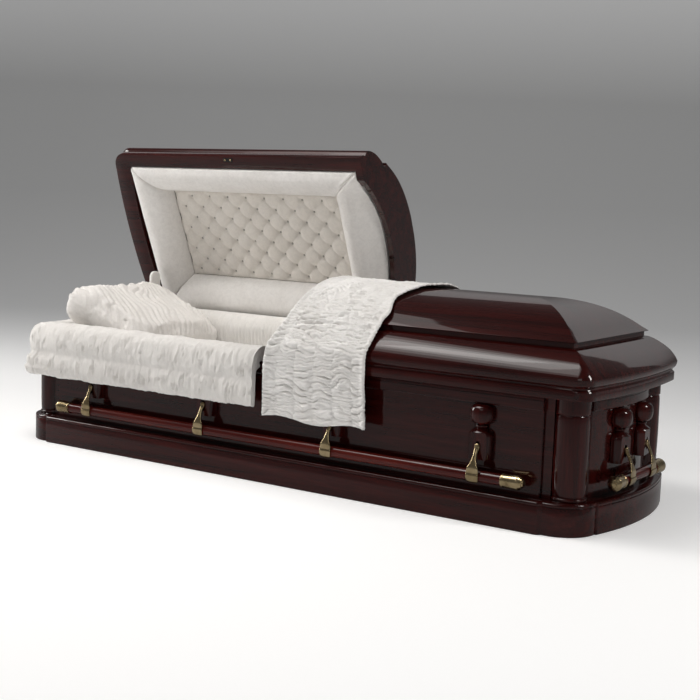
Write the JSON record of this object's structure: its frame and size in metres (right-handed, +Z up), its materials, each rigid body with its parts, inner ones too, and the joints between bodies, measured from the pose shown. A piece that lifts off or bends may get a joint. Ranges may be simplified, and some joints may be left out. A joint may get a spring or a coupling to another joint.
{
  "type": "half-couch casket",
  "caption": "Long wooden burial casket with a hinged two-part domed lid, swing-bar handles on all sides and a padded fabric interior.",
  "frame": {"origin": "on the ground plane under the middle of the case", "axes": "+X along the length towards the foot end, +Y towards the hinge side, +Z up"},
  "size_m": [2.157, 0.8295, 1.0115],
  "materials": {
    "lacquered_wood": "gloss lacquer",
    "bar_wood": "gloss lacquer",
    "brass": "brushed antique",
    "velvet": "crushed velvet",
    "raw_wood": "unfinished"
  },
  "bodies": {
    "case": {"floor": "raw_wood", "base_frame": "lacquered_wood", "case_walls": "lacquered_wood", "top_frame": "lacquered_wood", "column_foot_front": "lacquered_wood", "column_foot_back": "lacquered_wood", "column_head_front": "lacquered_wood", "column_head_back": "lacquered_wood", "baluster_front_1": "lacquered_wood", "baluster_front_2": "lacquered_wood", "baluster_front_3": "lacquered_wood", "baluster_front_4": "lacquered_wood", "baluster_back_1": "lacquered_wood", "baluster_back_2": "lacquered_wood", "baluster_back_3": "lacquered_wood", "baluster_back_4": "lacquered_wood", "baluster_head_1": "lacquered_wood", "baluster_head_2": "lacquered_wood", "baluster_foot_1": "lacquered_wood", "baluster_foot_2": "lacquered_wood", "head_hinge": "brass", "foot_hinge": "brass", "interior_lining": "velvet", "interior_roll": "velvet", "mattress": "velvet", "pillow": "velvet", "apron_front": "velvet", "apron_head": "velvet", "lid_support_cover": "velvet"},
    "head_lid_body": {"head_lid": "lacquered_wood", "head_lid_bolsters": "velvet", "head_lid_tufted_panel": "velvet", "catch_plate": "brass"},
    "foot_lid_body": {"foot_lid": "lacquered_wood", "foot_lid_lining": "velvet", "throw": "velvet"},
    "handle_front": {"bar_front": "bar_wood", "tip_front_1": "brass", "tip_front_2": "brass", "arm_front_1": "brass", "arm_front_2": "brass", "arm_front_3": "brass", "arm_front_4": "brass"},
    "handle_back": {"bar_back": "bar_wood", "tip_back_1": "brass", "tip_back_2": "brass", "arm_back_1": "brass", "arm_back_2": "brass", "arm_back_3": "brass", "arm_back_4": "brass"},
    "handle_head": {"bar_head": "bar_wood", "tip_head_1": "brass", "tip_head_2": "brass", "arm_head_1": "brass", "arm_head_2": "brass"},
    "handle_foot": {"bar_foot": "bar_wood", "tip_foot_1": "brass", "tip_foot_2": "brass", "arm_foot_1": "brass", "arm_foot_2": "brass"}
  },
  "joints": [
    {"name": "head_lid_hinge", "type": "hinge", "parent": "case", "child": "head_lid_body", "pos_m": [0, 0.344, 0.362], "axis": [1, 0, 0], "range_deg": [0, 67.2], "deforming": ["apron_front", "apron_head", "pillow", "interior_roll", "lid_support_cover", "head_lid_bolsters", "throw"]},
    {"name": "foot_lid_hinge", "type": "hinge", "parent": "case", "child": "foot_lid_body", "pos_m": [0, 0.344, 0.362], "axis": [-1, 0, 0], "range_deg": [0, 65]},
    {"name": "front_handle_swing", "type": "hinge", "parent": "case", "child": "handle_front", "pos_m": [0, -0.3273, 0.209], "axis": [-1, 0, 0], "range_deg": [0, 70]},
    {"name": "back_handle_swing", "type": "hinge", "parent": "case", "child": "handle_back", "pos_m": [0, 0.3273, 0.209], "axis": [1, 0, 0], "range_deg": [0, 70]},
    {"name": "head_handle_swing", "type": "hinge", "parent": "case", "child": "handle_head", "pos_m": [-1.04453, 0, 0.209], "axis": [0, 1, 0], "range_deg": [0, 70]},
    {"name": "foot_handle_swing", "type": "hinge", "parent": "case", "child": "handle_foot", "pos_m": [1.04453, 0, 0.209], "axis": [0, -1, 0], "range_deg": [0, 70]}
  ]
}
